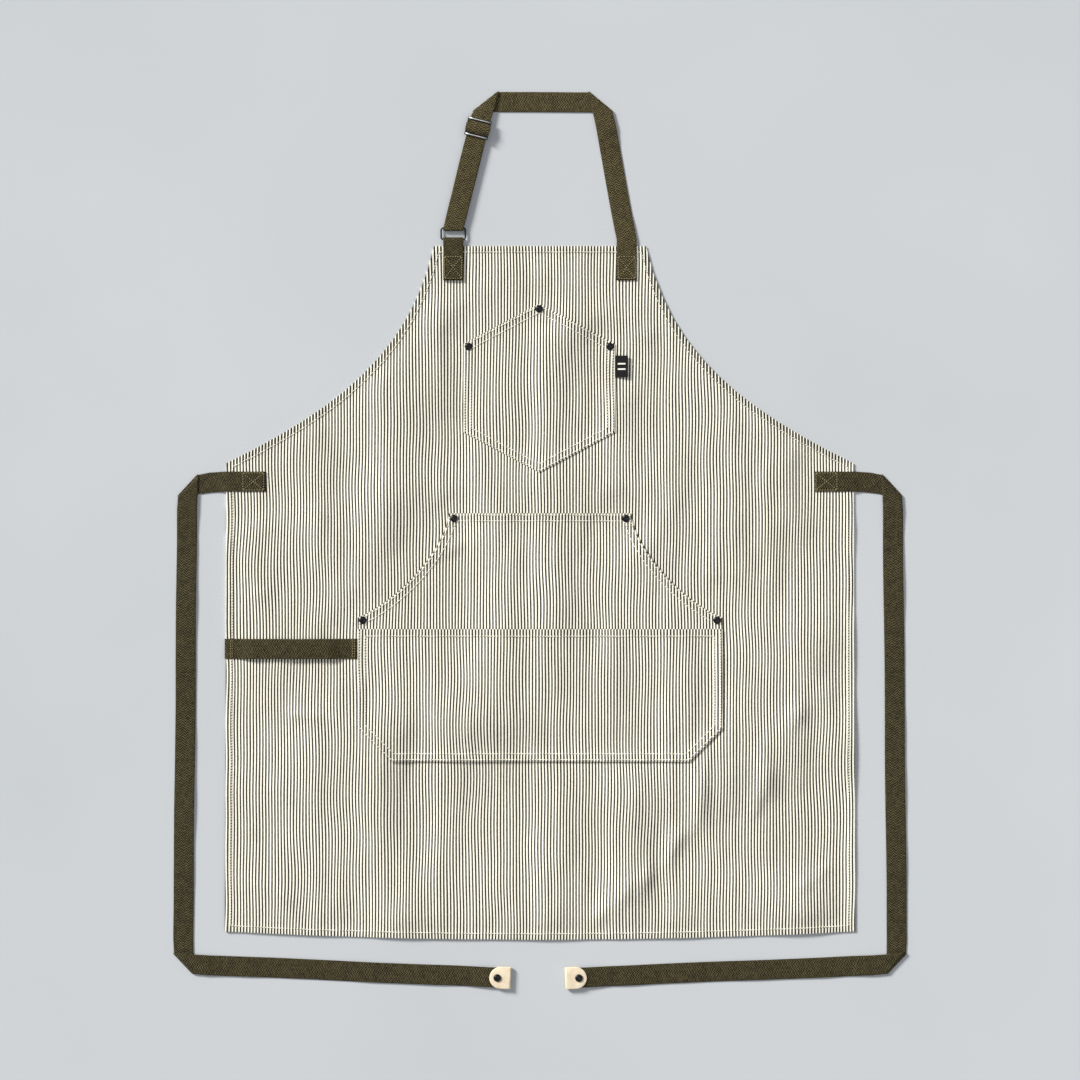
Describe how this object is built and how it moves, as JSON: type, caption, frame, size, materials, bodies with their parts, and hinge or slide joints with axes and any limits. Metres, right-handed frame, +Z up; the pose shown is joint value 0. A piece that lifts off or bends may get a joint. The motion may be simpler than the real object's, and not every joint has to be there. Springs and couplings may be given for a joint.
{
  "type": "butcher apron",
  "caption": "Bib apron in striped cotton with riveted chest and hand pockets, towel loop, adjustable webbing neck strap and long waist ties.",
  "frame": {"origin": "middle of the laid-out apron's bounding box, on the table it lies on", "axes": "+X to the right of the laid-out front, +Y up the bib towards the neck, +Z up out of the cloth's front"},
  "size_m": [0.88, 1.0768, 0.0122],
  "materials": {
    "striped_cotton": "fine cream and charcoal stripes, matt twill",
    "olive_webbing": "matt herringbone cotton webbing",
    "black_metal": "smooth black",
    "gunmetal": "dark polished",
    "cream_leather": "smooth matt",
    "black_label": "fine woven"
  },
  "bodies": {
    "apron": {"apron_panel": "striped_cotton", "bib_pocket": "striped_cotton", "hand_pocket": "striped_cotton", "front_pocket": "striped_cotton", "towel_loop": "olive_webbing", "neck_ring_tab": "olive_webbing", "neck_strap_sewn_end": "olive_webbing", "left_tie_sewn_end": "olive_webbing", "right_tie_sewn_end": "olive_webbing", "bib_rivet_left_cap": "black_metal", "bib_rivet_left_tack": "black_metal", "bib_rivet_top_cap": "black_metal", "bib_rivet_top_tack": "black_metal", "bib_rivet_right_cap": "black_metal", "bib_rivet_right_tack": "black_metal", "hand_rivet_upper_left_cap": "black_metal", "hand_rivet_upper_left_tack": "black_metal", "hand_rivet_lower_left_cap": "black_metal", "hand_rivet_lower_left_tack": "black_metal", "hand_rivet_upper_right_cap": "black_metal", "hand_rivet_upper_right_tack": "black_metal", "hand_rivet_lower_right_cap": "black_metal", "hand_rivet_lower_right_tack": "black_metal"},
    "neck_loop": {"neck_strap": "olive_webbing", "neck_strap_return": "olive_webbing"},
    "neck_ring": {"neck_ring": "black_metal"},
    "slider": {"slider_frame": "gunmetal", "strap_end_loop": "olive_webbing"},
    "left_tie_drop": {"left_tie_drop": "olive_webbing"},
    "left_tie_tail": {"left_tie_tail": "olive_webbing", "left_tie_tip": "cream_leather", "left_tip_rivet_cap": "black_metal", "left_tip_rivet_tack": "black_metal"},
    "right_tie_drop": {"right_tie_drop": "olive_webbing"},
    "right_tie_tail": {"right_tie_tail": "olive_webbing", "right_tie_tip": "cream_leather", "right_tip_rivet_cap": "black_metal", "right_tip_rivet_tack": "black_metal"},
    "label": {"woven_label": "black_label"}
  },
  "joints": [
    {"name": "left_tie_upper_fold", "type": "hinge", "parent": "apron", "child": "left_tie_drop", "pos_m": [-0.423, 0.06593, 0.00145], "axis": [-0.679, -0.7342, 0], "range_deg": [0, 180]},
    {"name": "left_tie_lower_fold", "type": "hinge", "parent": "left_tie_drop", "child": "left_tie_tail", "pos_m": [-0.4283, -0.50876, 0.00145], "axis": [0.6888, -0.7249, 0], "range_deg": [0, 180]},
    {"name": "right_tie_upper_fold", "type": "hinge", "parent": "apron", "child": "right_tie_drop", "pos_m": [0.423, 0.06593, 0.00145], "axis": [-0.679, 0.7342, 0], "range_deg": [0, 180]},
    {"name": "right_tie_lower_fold", "type": "hinge", "parent": "right_tie_drop", "child": "right_tie_tail", "pos_m": [0.4283, -0.50876, 0.00145], "axis": [0.6888, 0.7249, 0], "range_deg": [0, 180]},
    {"name": "neck_loop_fold", "type": "hinge", "parent": "apron", "child": "neck_loop", "pos_m": [0, 0.36054, 0.0026], "axis": [1, 0, 0], "range_deg": [0, 150]},
    {"name": "ring_pivot", "type": "hinge", "parent": "apron", "child": "neck_ring", "pos_m": [-0.104, 0.36054, 0.0026], "axis": [1, 0, 0], "range_deg": [0, 150]},
    {"name": "slider_slide", "type": "slide", "parent": "neck_loop", "child": "slider", "axis": [-0.2419, -0.9703, 0], "range_m": [0, 0.08], "deforming": ["neck_strap_return"]},
    {"name": "label_flip", "type": "hinge", "parent": "apron", "child": "label", "pos_m": [0.09005, 0.20804, 0.003], "axis": [0, -1, 0], "range_deg": [0, 150]}
  ],
  "couplings": [
    {"joint": "ring_pivot", "follows": "neck_loop_fold", "ratio": 1}
  ]
}
